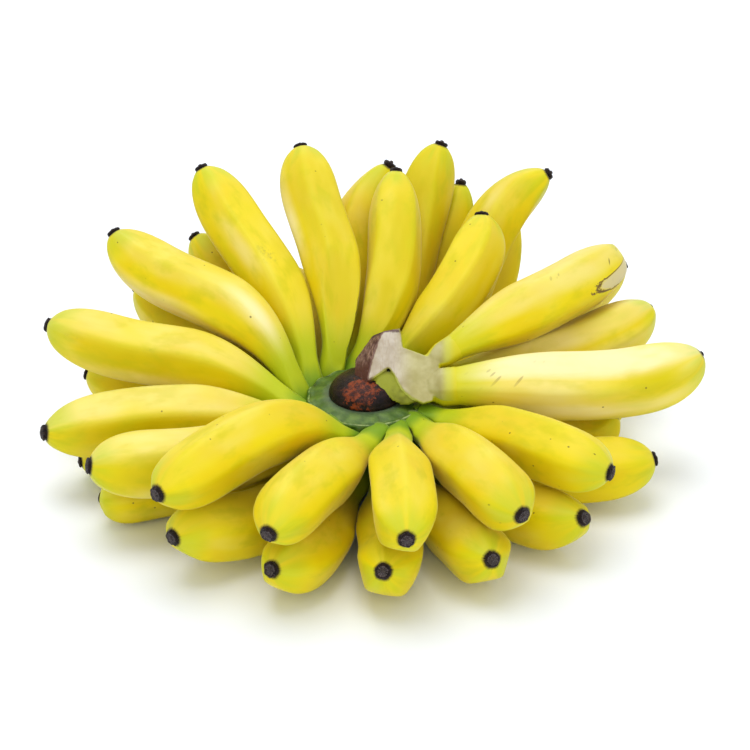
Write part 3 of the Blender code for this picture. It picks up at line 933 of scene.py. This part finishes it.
def dry_tips(n, colour, along, lay, wrinkle):
    """The dark dry tip with a ragged brown border. Also gives where the tip is."""
    ragged = n.stirred(along, n.noise(lay, 700.0, 4.0), 0.006)
    cap = n.step(ragged, 0.9745, 0.9775)
    # painted glints: grey on the wrinkle crests of the end face, over its grey dried tissue
    face = n.times(n.step(wrinkle, 0.40, 0.62), n.value("end_face"))
    dark = n.coats(CAP_DARK, (n.step(wrinkle, 0.42, 0.72), CAP_BROWN), (face, CAP_GREY_GLINT))
    border = n.step(ragged, 0.9700, 0.9755, 0.65)
    return n.coats(colour, (border, CAP_BROWN), (cap, dark)), cap


def peel_material():
    n = Nodes("peel_skin")
    lay = n.vector("lay")
    along = n.value("along")
    patches = n.noise(lay, 45.0, 2.0)
    broad = n.noise(n.scaled(lay, (1.0, 1.0, 0.4)), 75.0, 2.0)
    fibre = n.noise(n.scaled(lay, (1.0, 1.0, 0.08)), 600.0, 3.0)
    grain = n.noise(lay, 2400.0, 2.0)
    wrinkle = n.noise(lay, 1000.0, 4.0, 0.7)
    colour = peel_yellows(n, lay, patches, broad, fibre)
    colour = peel_greens(n, colour, along, patches, broad)
    colour = peel_marks(n, colour, lay)
    colour, cap = dry_tips(n, colour, along, lay, wrinkle)
    roughness = n.plus(n.plus(0.44, n.times(patches, 0.12)), n.times(cap, 0.10))
    normal = n.bump(fibre, 0.00006, 0.5)
    normal = n.bump(grain, 0.00004, 0.4, normal)
    normal = n.bump(n.times(cap, wrinkle), 0.0007, 1.0, normal)
    return n.finish(
        colour, roughness, normal,
        Subsurface_Weight=0.08, Subsurface_Radius=(1.0, 0.9, 0.20), Subsurface_Scale=0.0015,
        Specular_IOR_Level=0.22, Coat_Weight=0.06, Coat_Roughness=0.36, Coat_IOR=1.45,
        Sheen_Weight=0.16, Sheen_Roughness=0.30,
    )


def stalk_material():
    n = Nodes("stalk_skin")
    place = n.place()
    mottled = n.noise(place, 260.0, 4.0, 0.6)
    fine = n.noise(place, 1500.0, 3.0)
    colour = n.coats(
        COLLAR_DARK,
        (n.step(mottled, 0.35, 0.70), COLLAR_GREEN),
        # painted shade: darker in the grooves between the necks
        (n.step(n.value("lobe"), 0.40, 0.0, 0.5), COLLAR_GROOVE_SHADE),
        # greyish wax with a painted sheen towards the middle of the collar
        (n.times(n.value("wax_and_sheen"), 0.7), COLLAR_WAX_SHEEN),
        (n.times(n.value("rim"), n.step(mottled, 0.40, 0.62)), COLLAR_RIM),
    )
    normal = n.bump(n.plus(n.times(mottled, 0.8), n.times(fine, 0.2)), 0.0005, 0.7)
    return n.finish(colour, n.plus(0.30, n.times(mottled, 0.2)), normal, Subsurface_Weight=0.05)


def end_material():
    n = Nodes("dry_end")
    place = n.place()
    blotch = n.noise(place, 200.0, 5.0, 0.7)
    fine = n.noise(place, 1300.0, 4.0, 0.65)
    crumbs = n.noise(place, 480.0, 5.0, 0.75)
    torn = n.stirred(n.value("torn"), blotch, 1.5)
    torn = n.step(n.stirred(torn, crumbs, 2.4), 0.52, 0.70)
    colour = n.coats(
        END_BLACK,
        (n.step(blotch, 0.35, 0.68), END_BROWN),
        (n.step(fine, 0.60, 0.80, 0.4), END_DUST),
        (torn, n.mix(n.step(crumbs, 0.42, 0.60), FLESH_DARK, FLESH_RED)),
    )
    normal = n.bump(blotch, 0.0009, 0.8)
    normal = n.bump(fine, 0.0003, 0.8, normal)
    return n.finish(colour, n.plus(0.20, n.times(fine, 0.3)), normal, Specular_IOR_Level=0.28)


def cut_face(n, at, cloud, mottled):
    """The pale cut face: mottled, streaked, greener on its thin arm, with a darker border."""
    streak = n.noise(n.scaled(at, (1.0, 0.13, 0.5)), 2.2, 4.0, 0.6)
    thin = n.value("thin")
    drawn = n.times(n.step(streak, 0.50, 0.68), n.plus(0.55, n.times(thin, -0.45)))
    top_edge = n.stirred(n.value("crown_top"), mottled, 1.2)
    border = n.stirred(n.value("border"), mottled, 0.9)
    return n.coats(
        CUT_TAN,
        (cloud, CUT_PALE),
        (n.step(mottled, 0.50, 0.75, 0.25), CUT_SPOT),
        (drawn, CUT_STREAK),
        (n.times(thin, 0.85), n.mix(cloud, ARM_DEEP, ARM_PALE)),
        (n.step(top_edge, 0.45, 0.85, 0.85), CUT_TOP),
        (n.step(border, 0.30, 0.72, 0.85), n.mix(n.value("olive"), BORDER_BROWN, BORDER_OLIVE)),
    )


def crown_skin(n, fibre, cloud, mottled, ragged):
    """The fibrous brown outside, and its smooth olive part with a lighter edge."""
    olive = n.value("olive")
    edge = n.times(n.step(ragged, 0.15, 0.35), n.step(ragged, 0.80, 0.50))
    return n.coats(
        BARK_DARK,
        (n.step(fibre, 0.38, 0.66), BARK_BROWN),
        (n.times(n.value("foot"), n.step(mottled, 0.25, 0.50)), BARK_FOOT),
        (n.value("crown_top"), BARK_TOP),
        (olive, n.mix(cloud, OLIVE_DEEP, OLIVE_SKIN)),
        (n.times(edge, olive), OLIVE_EDGE),
    )


def crown_material():
    n = Nodes("cut_crown_skin")
    place = n.place()
    at = n.vector("crown_at")
    face = n.value("face")
    fresh = n.value("fresh")
    cloud = n.step(n.noise(place, 130.0, 3.0, 0.5), 0.35, 0.65)
    mottled = n.noise(place, 380.0, 5.0, 0.65)
    fibre = n.noise(n.scaled(at, (1.0, 0.16, 1.0)), 1.4, 5.0, 0.65)
    ragged = n.stirred(face, mottled, 0.35)
    colour = n.coats(
        crown_skin(n, fibre, cloud, mottled, ragged),
        (n.step(ragged, 0.40, 0.62), cut_face(n, at, cloud, mottled)),
        (n.step(fresh, 0.05, 0.50), FRESH_LIME),
        (n.step(fresh, 0.45, 0.95), FRESH_PEEL),
    )
    rough_skin = n.times(n.plus(1.0, n.times(face, -0.75)), n.plus(1.0, n.times(fresh, -0.95)))
    rough_skin = n.times(rough_skin, n.plus(1.0, n.times(n.value("olive"), -0.8)))
    height = n.times(n.plus(n.times(fibre, 0.8), n.times(mottled, 0.4)), rough_skin)
    return n.finish(
        colour, n.plus(0.50, n.times(mottled, 0.2)), n.bump(height, 0.0011, 0.9),
        Subsurface_Weight=0.12, Subsurface_Radius=(1.0, 0.9, 0.6), Subsurface_Scale=0.0015,
    )


def floor_material():
    n = Nodes("pale_floor")
    return n.finish(n.mix(n.noise(n.place(), 3.0, 2.0), FLOOR_COOL, FLOOR_PALE), 0.75)


# Stalk, its dark end and the cut crown

def spun(profile, sides):
    """Rings of points round the upright axis through a profile, and their angles."""
    angle = np.arange(sides) * math.tau / sides
    radius = np.array([r for r, _ in profile])[:, None]
    height = np.repeat(np.array([z for _, z in profile])[:, None], sides, 1)
    return np.stack([radius * np.cos(angle), radius * np.sin(angle), height], axis=2), angle


def neck_lobes(angle):
    """1 in line with a neck of the top row, falling to 0 half way between two."""
    turns = np.array([math.radians(turn) for name, turn, *_ in FINGERS if name.startswith("top")])
    apart = np.mod(angle[:, None] - turns[None, :] + math.pi, math.tau) - math.pi
    return np.exp(-((np.abs(apart).min(axis=1) / LOBE_WIDTH) ** 2))


def make_stalk(material):
    rng = np.random.default_rng(SEED + 100)
    rim_top = STALK_HEIGHT - RIM_DROP
    core = np.linspace(STALK_CORE_FOOT, rim_top - RIM_RADIUS, CORE_RINGS)
    wall = list(STALK_UNDERSIDE) + [(STALK_CORE_RADIUS, z) for z in core]
    turns = np.linspace(0.0, math.pi / 2.0, RIM_RINGS + 1)[1:]
    rim_radii = STALK_CORE_RADIUS - RIM_RADIUS * (1.0 - np.cos(turns))
    rim_heights = rim_top - RIM_RADIUS * (1.0 - np.sin(turns))
    inward = np.linspace(COLLAR_OUTER, COLLAR_INNER, COLLAR_RINGS)
    rise = COLLAR_RISE * smooth((COLLAR_OUTER - inward) / COLLAR_RISE_REACH)
    top = list(zip(inward, STALK_HEIGHT - COLLAR_DIP + rise))
    rings, angle = spun(wall + list(zip(rim_radii, rim_heights)) + top, STALK_SIDES)

    count = len(rings)
    under = len(STALK_UNDERSIDE)
    rim_at = len(wall)
    top_at = rim_at + RIM_RINGS
    t = np.linspace(0.0, 1.0, count)
    uneven = wobble(rng, t, angle * 2.0, 9)
    rings[:, :, :2] *= (1.0 + STALK_UNEVEN * uneven)[:, :, None]
    rings[under:, :, 2] += STALK_LUMPS * wobble(rng, t, angle * 2.0, 9)[under:]
    lobes = neck_lobes(angle)
    lifted = np.zeros(count)
    lifted[rim_at:] = 1.0
    lifted[top_at:] = fade(inward, *LOBE_FADE)
    rings[:, :, 2] += LOBE_HEIGHT * np.outer(lifted, lobes - 0.5)
    rings[rim_at:top_at, :, :2] *= (1.0 + LOBE_SWELL * (lobes - 0.5))[None, :, None]
    faces = ring_faces(count, STALK_SIDES)
    obj = mesh_of("stalk_collar", rings.reshape(-1, 3), faces, material)
    rim = np.zeros((count, STALK_SIDES))
    rim[rim_at + RIM_PALE_RINGS[0] : rim_at + RIM_PALE_RINGS[1]] = RIM_PALE
    wax_and_sheen = np.zeros((count, STALK_SIDES))
    wax_and_sheen[top_at:] = fade(inward, *WAX_SHEEN_FADE)[:, None]
    give(obj, "rim", rim)
    give(obj, "wax_and_sheen", wax_and_sheen)
    give(obj, "lobe", np.tile(lobes, count))
    dress(obj, "stalk")


def make_stalk_end(material):
    rng = np.random.default_rng(SEED + 200)
    turns = np.linspace(0.0, math.pi / 2.0, END_RINGS + 1)[:-1]
    base = STALK_HEIGHT - END_SUNK
    height = END_HEIGHT + DOME_LIFT
    dome = zip(END_RADIUS * np.cos(turns), base + END_STEP + height * np.sin(turns))
    rings, angle = spun([(END_RADIUS * END_FOOT_SHARE, base), *dome], END_SIDES)
    t = np.linspace(0.0, 1.0, len(rings))
    folds = wobble(rng, t * 2.0, angle * 3.0, 12)
    rings[:, :, :2] *= (1.0 + END_FOLDS * folds)[:, :, None]
    rings[1:, :, 2] += END_LUMPS * wobble(rng, t * 2.0, angle * 2.0, 12)[1:] * t[1:, None]
    points = rings.reshape(-1, 3)
    obj = mesh_of("stalk_dark_end", points, ring_faces(len(rings), END_SIDES), material)
    far = np.linalg.norm(points - np.array(TORN_AT), axis=1)
    give(obj, "torn", fade(far, TORN_REACH, TORN_CORE * TORN_REACH))
    dress(obj, "stalk_end")


def crown_point(point):
    across, up, behind = (value * MM for value in point)
    place = Vector(CROWN_CORNER) + Vector((across, 0.0, 0.0))
    return place + Vector(CROWN_UP) * up + Vector(CROWN_BEHIND) * behind


def hull_of(points):
    """A closed mesh round the given points, as mesh data."""
    block = bmesh.new()
    for point in points:
        block.verts.new(point)
    hull = bmesh.ops.convex_hull(block, input=block.verts)
    inner = [v for v in hull["geom_interior"] if isinstance(v, bmesh.types.BMVert)]
    bmesh.ops.delete(block, geom=inner, context="VERTS")
    bmesh.ops.recalc_face_normals(block, faces=block.faces)
    data = bpy.data.meshes.new("block")
    block.to_mesh(data)
    block.free()
    return data


def neck_rings(index, line):
    """Rings round the first stretch of a finger, where it grows out of the crown."""
    finger = FINGERS[index]
    ahead, side, up = frames(line)
    angle = np.arange(NECK_BLOCK_SIDES) * math.tau / NECK_BLOCK_SIDES
    rings = []
    for along, share in NECK_BLOCKS:
        t = max(along, 0.0) / length_of(line)
        radius = radius_of(finger) * float(radius_share(t, neck_of(finger))) * share
        ridged = radius * (1.0 + ridge_share(t) * crest(turned_ridges(index, angle)))
        centre = fitted_line(line, [t])[0] + ahead[0] * min(along, 0.0)
        way = np.outer(np.cos(angle), side[0]) + np.outer(np.sin(angle), up[0])
        ring = centre + ridged[:, None] * way
        rings.append([Vector(point) for point in ring])
    return rings


def near_skin(points, on_face):
    """1 at the border of the cut face, falling to 0 a little way in."""
    skin = points[on_face < 0.5]
    tree = KDTree(len(skin))
    for number, point in enumerate(skin):
        tree.insert(point, number)
    tree.balance()
    apart = np.array([tree.find(point)[2] for point in points])
    return 1.0 - smooth(apart / BORDER_WIDTH)


def crown_blocks(lines):
    """Points of the convex blocks of the crown and of the sleeves that lead into its necks."""
    blocks = [[crown_point(point) for point in points] for points in CROWN_BLOCKS.values()]
    for index, finger in enumerate(FINGERS):
        if not on_whorl(finger):
            rings = neck_rings(index, lines[index])
            blocks += [low + high for low, high in zip(rings, rings[1:])]
    return blocks


def joined(name, blocks):
    """One object with a hull round each block."""
    whole = bmesh.new()
    for points in blocks:
        hull = hull_of(points)
        whole.from_mesh(hull)
        bpy.data.meshes.remove(hull)
    data = bpy.data.meshes.new(name)
    whole.to_mesh(data)
    whole.free()
    return placed(name, data)


def melt(obj, material):
    """Turns the blocks of an object into one closed skin with rounded edges."""
    remesh = obj.modifiers.new("remesh", "REMESH")
    remesh.mode = "VOXEL"
    remesh.voxel_size = CROWN_VOXEL
    relax = obj.modifiers.new("relax", "SMOOTH")
    relax.factor = 0.5
    relax.iterations = CROWN_RELAXED
    bpy.context.view_layer.update()
    made = obj.evaluated_get(bpy.context.evaluated_depsgraph_get())
    data = bpy.data.meshes.new_from_object(made)
    obj.modifiers.clear()
    obj.data = data
    data.materials.clear()
    data.materials.append(material)
    data.shade_smooth()


def make_crown(lines, material):
    obj = joined("crown_cut", crown_blocks(lines))
    melt(obj, material)
    points = np.empty(len(obj.data.vertices) * 3)
    obj.data.vertices.foreach_get("co", points)
    points = points.reshape(-1, 3)
    off = points - np.array(CROWN_CORNER)
    across = off[:, 0] / MM
    up = off @ np.array(CROWN_UP) / MM
    behind = off @ np.array(CROWN_BEHIND) / MM
    give(obj, "crown_at", np.stack([across, up, behind], axis=1), "FLOAT_VECTOR")
    on_face = fade(behind, *FACE_BEHIND)
    give(obj, "face", on_face)
    give(obj, "border", near_skin(points, on_face))
    give(obj, "thin", fade(across, *THIN_ACROSS))
    give(obj, "foot", fade(up, *FOOT_UP) * fade(across, *FOOT_ACROSS))
    give(obj, "crown_top", fade(up, *TOP_UP))
    below = fade(up, *OLIVE_UP) * fade(across, *OLIVE_ACROSS)
    give(obj, "olive", np.maximum(below, fade(across, *ARM_ACROSS)))
    skin_fresh = fade(points[:, 0], *FRESH_SKIN)
    face_fresh = fade(points[:, 0], *FRESH_FACE)
    give(obj, "fresh", skin_fresh * (1.0 - on_face) + face_fresh * on_face)
    dress(obj, "cut_crown")


# Camera, floor and light

def look_at(obj, target):
    way = Vector(target) - obj.location
    obj.rotation_euler = way.to_track_quat("-Z", "Y").to_euler()


def make_camera():
    data = bpy.data.cameras.new("camera")
    data.sensor_width = SENSOR_MM
    data.lens = SENSOR_MM * CAMERA_DISTANCE / VIEW_WIDTH
    data.shift_x = (IMAGE_PIXELS / 2.0 - TARGET_PIXEL[0]) / IMAGE_PIXELS
    data.shift_y = (TARGET_PIXEL[1] - IMAGE_PIXELS / 2.0) / IMAGE_PIXELS
    data.clip_start = 0.01
    camera = placed("camera", data)
    back = Vector((0.0, -math.cos(CAMERA_RISE), math.sin(CAMERA_RISE)))
    camera.location = Vector(CAMERA_TARGET) + back * CAMERA_DISTANCE
    look_at(camera, CAMERA_TARGET)
    bpy.context.scene.camera = camera


def make_floor(material):
    corners = ((-1, -1), (1, -1), (1, 1), (-1, 1))
    points = np.array([(x * FLOOR_HALF, y * FLOOR_HALF, 0.0) for x, y in corners])
    floor = mesh_of("floor", points, [(0, 1, 2, 3)], material)
    floor.location.z = -FLOOR_DROP


def make_area_light(name, place, size, power):
    data = bpy.data.lights.new(name, "AREA")
    data.shape = "DISK"
    data.size = size
    data.energy = power
    light = placed(name, data)
    light.location = place
    look_at(light, LIGHT_TARGET)


def make_light():
    scene = bpy.context.scene
    world = bpy.data.worlds.new("studio")
    world.use_nodes = True
    background = world.node_tree.nodes["Background"]
    background.inputs["Color"].default_value = (*WORLD_COLOUR, 1.0)
    background.inputs["Strength"].default_value = WORLD_STRENGTH
    scene.world = world
    for name, place, size, power in LIGHTS:
        make_area_light(name, place, size, power)
    scene.view_settings.view_transform = "Standard"
    scene.view_settings.look = "Medium High Contrast"


make_camera()
make_floor(floor_material())
make_light()
finger_lines, finger_radii = crowded_fingers()
make_stalk(stalk_material())
make_stalk_end(end_material())
make_crown(finger_lines, crown_material())
peel = peel_material()
for number in range(len(FINGERS)):
    make_finger(number, finger_lines, finger_radii, peel)
